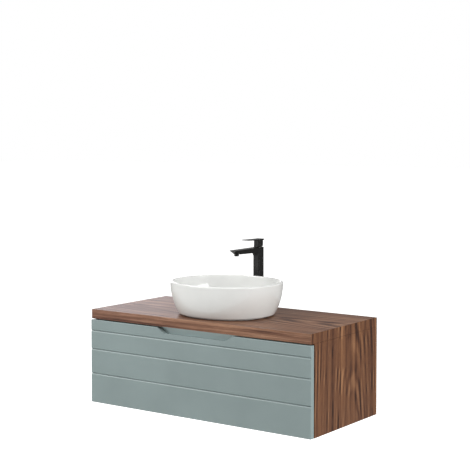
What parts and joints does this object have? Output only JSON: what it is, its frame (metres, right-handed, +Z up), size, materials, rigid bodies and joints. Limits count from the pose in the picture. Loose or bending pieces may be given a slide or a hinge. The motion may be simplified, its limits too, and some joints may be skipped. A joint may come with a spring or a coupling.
{
  "type": "vessel sink on vanity",
  "caption": "Wall-hung bathroom vanity: wide grooved drawer with a finger notch, wooden worktop, oval vessel basin, tall lever mixer tap, pop-up waste and bottle trap.",
  "frame": {"origin": "middle of the wall rail's back face, on the wall plane, 86 mm below the worktop's surface", "axes": "+X along the width, +Y into the wall, +Z up; the drawer opens towards -Y"},
  "size_m": [1, 0.46, 0.633],
  "materials": {
    "walnut": "satin walnut veneer, grain along the worktop and upright on the sides",
    "sage_lacquer": "matt grey-green lacquer on board",
    "box_board": "light grey melamine on board",
    "glazed_ceramic": "glossy white glaze",
    "black_metal": "matt black coating",
    "zinc_steel": "zinc plated",
    "brass": "turned brass",
    "rubber": "matt",
    "white_plastic": "satin moulded plastic",
    "grey_plastic": "moulded plastic"
  },
  "bodies": {
    "root": {"worktop": "walnut", "side_panel_left": "walnut", "side_panel_right": "walnut", "front_stretcher": "sage_lacquer", "rear_board_upper": "box_board", "rear_board_lower": "box_board", "basin": "glazed_ceramic", "tap_body": "black_metal", "tap_base_ring": "black_metal", "aerator": "black_metal", "wall_rail": "zinc_steel", "hanger_left": "zinc_steel", "hanger_right": "zinc_steel", "hanger_screw_left": "zinc_steel", "hanger_screw_right": "zinc_steel", "worktop_angle_front_left": "zinc_steel", "worktop_angle_front_right": "zinc_steel", "worktop_angle_rear_left": "zinc_steel", "worktop_angle_rear_right": "zinc_steel", "slide_cabinet_rail_left": "zinc_steel", "slide_cabinet_rail_right": "zinc_steel", "waste_body": "brass", "waste_back_nut": "brass", "cartridge_ring": "brass", "tap_fixing_nut": "brass", "hot_inlet": "brass", "cold_inlet": "brass", "waste_rubber_washer": "rubber", "tap_rubber_washer": "rubber", "trap_inlet_nut": "white_plastic", "trap_inlet_pipe": "white_plastic", "trap_bottle": "white_plastic", "trap_head_nut": "white_plastic", "trap_cup": "white_plastic", "trap_outlet_pipe": "white_plastic", "trap_outlet_nut": "white_plastic", "wall_rosette": "white_plastic", "cartridge": "white_plastic"},
    "drawer": {"drawer_front": "sage_lacquer", "drawer_box_front": "box_board", "drawer_side_left": "box_board", "drawer_side_right": "box_board", "drawer_bottom": "box_board", "drawer_back_left": "box_board", "drawer_back_right": "box_board", "recess_wall_left": "box_board", "recess_wall_right": "box_board", "recess_wall_front": "box_board", "slide_drawer_rail_left": "zinc_steel", "slide_drawer_rail_right": "zinc_steel", "front_clip_left": "grey_plastic", "front_clip_right": "grey_plastic"},
    "slide_middle_left": {"slide_middle_rail_left": "zinc_steel"},
    "slide_middle_right": {"slide_middle_rail_right": "zinc_steel"},
    "waste_plug": {"waste_plug": "black_metal"},
    "lever_swivel": {"cartridge_carrier": "white_plastic"},
    "lever": {"cartridge_stem": "brass", "lever_handle": "black_metal", "handle_screw": "zinc_steel"}
  },
  "joints": [
    {"name": "drawer_slide", "type": "slide", "parent": "root", "child": "drawer", "axis": [0, -1, 0], "range_m": [0, 0.38]},
    {"name": "middle_slide_left", "type": "slide", "parent": "root", "child": "slide_middle_left", "axis": [0, -1, 0], "range_m": [0, 0.19]},
    {"name": "middle_slide_right", "type": "slide", "parent": "root", "child": "slide_middle_right", "axis": [0, -1, 0], "range_m": [0, 0.19]},
    {"name": "lever_turn", "type": "hinge", "parent": "root", "child": "lever_swivel", "pos_m": [0, -0.046, 0.3243], "axis": [0, 0, 1], "range_deg": [-45, 45]},
    {"name": "lever_lift", "type": "hinge", "parent": "lever_swivel", "child": "lever", "pos_m": [0, -0.046, 0.3243], "axis": [-1, 0, 0], "range_deg": [0, 20]},
    {"name": "plug_lift", "type": "slide", "parent": "root", "child": "waste_plug", "axis": [0, 0, 1], "range_m": [0, 0.008]}
  ],
  "couplings": [
    {"joint": "middle_slide_left", "follows": "drawer_slide", "ratio": 0.5},
    {"joint": "middle_slide_right", "follows": "drawer_slide", "ratio": 0.5}
  ]
}
